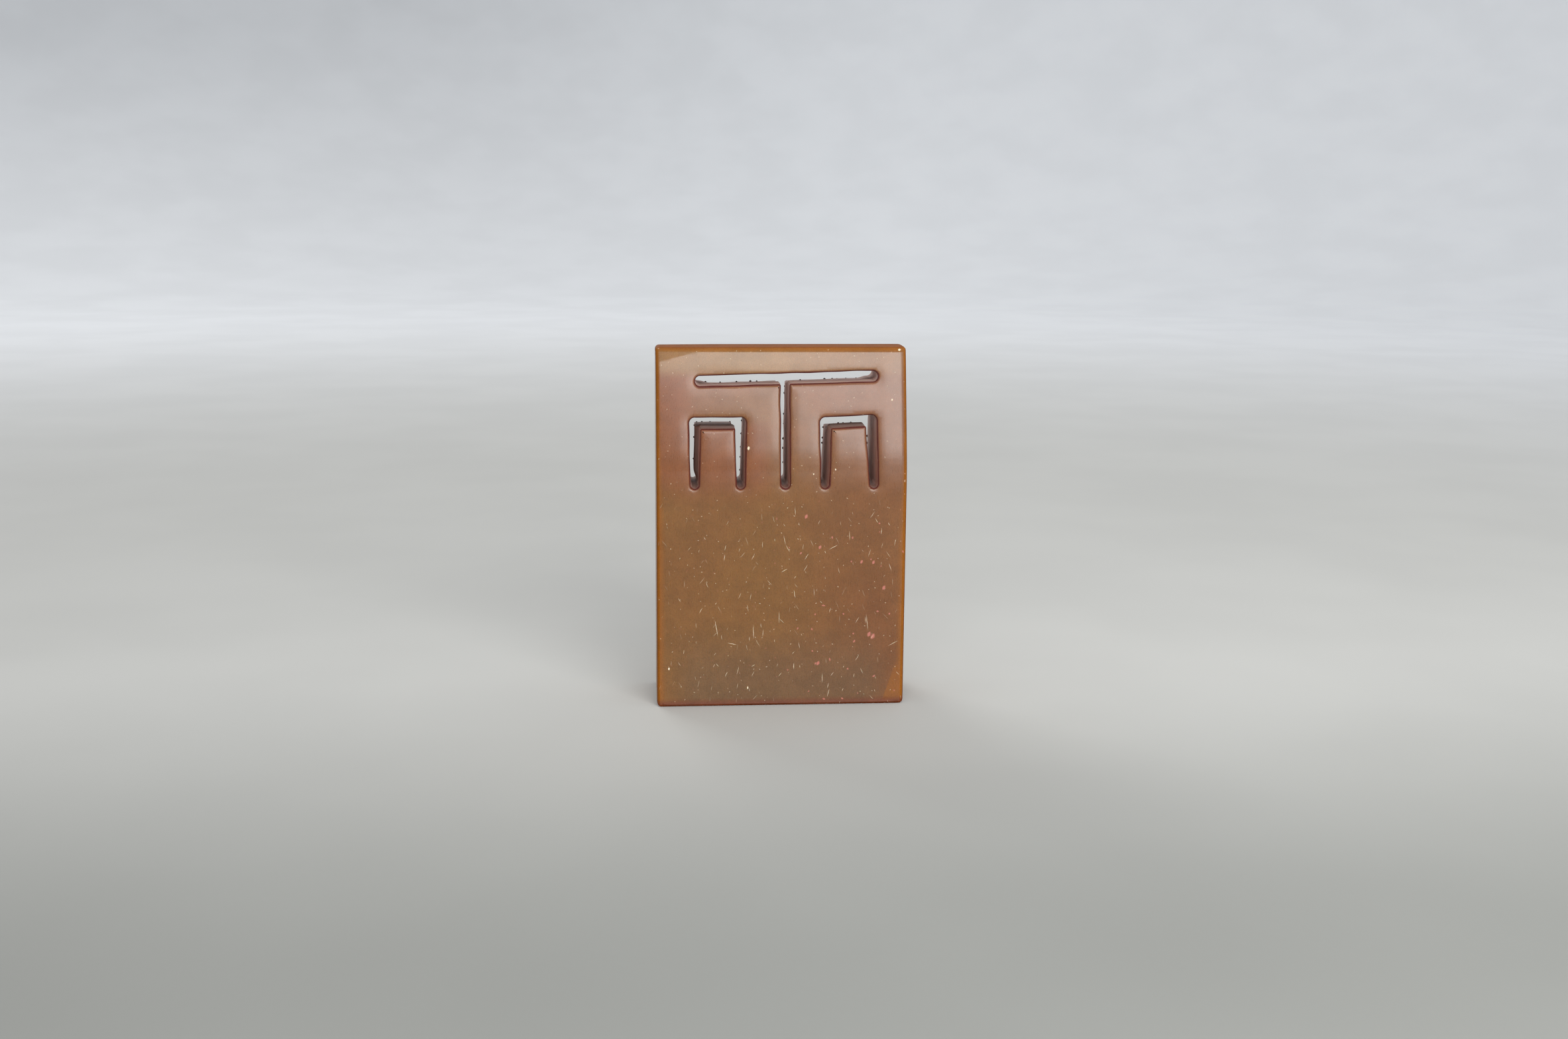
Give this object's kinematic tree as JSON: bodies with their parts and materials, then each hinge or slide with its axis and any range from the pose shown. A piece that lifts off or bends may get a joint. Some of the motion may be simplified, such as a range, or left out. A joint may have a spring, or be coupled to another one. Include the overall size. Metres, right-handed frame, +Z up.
{
  "type": "seal stamp",
  "caption": "Flat upright seal stone with a leaning top pierced by a T and two bracket shaped slots, and dried red paste in its carved seal face.",
  "frame": {"origin": "middle of the seal face, on the surface that the stone stands on", "axes": "+Z up from the seal face to the pierced top, +X to the right seen from the front, the front faces -Y"},
  "size_m": [0.046, 0.017, 0.066],
  "materials": {
    "polished_stone": "satin",
    "dried_paste": "matte"
  },
  "bodies": {
    "root": {"seal_stone": "polished_stone", "vermilion_paste": "dried_paste"}
  },
  "joints": []
}
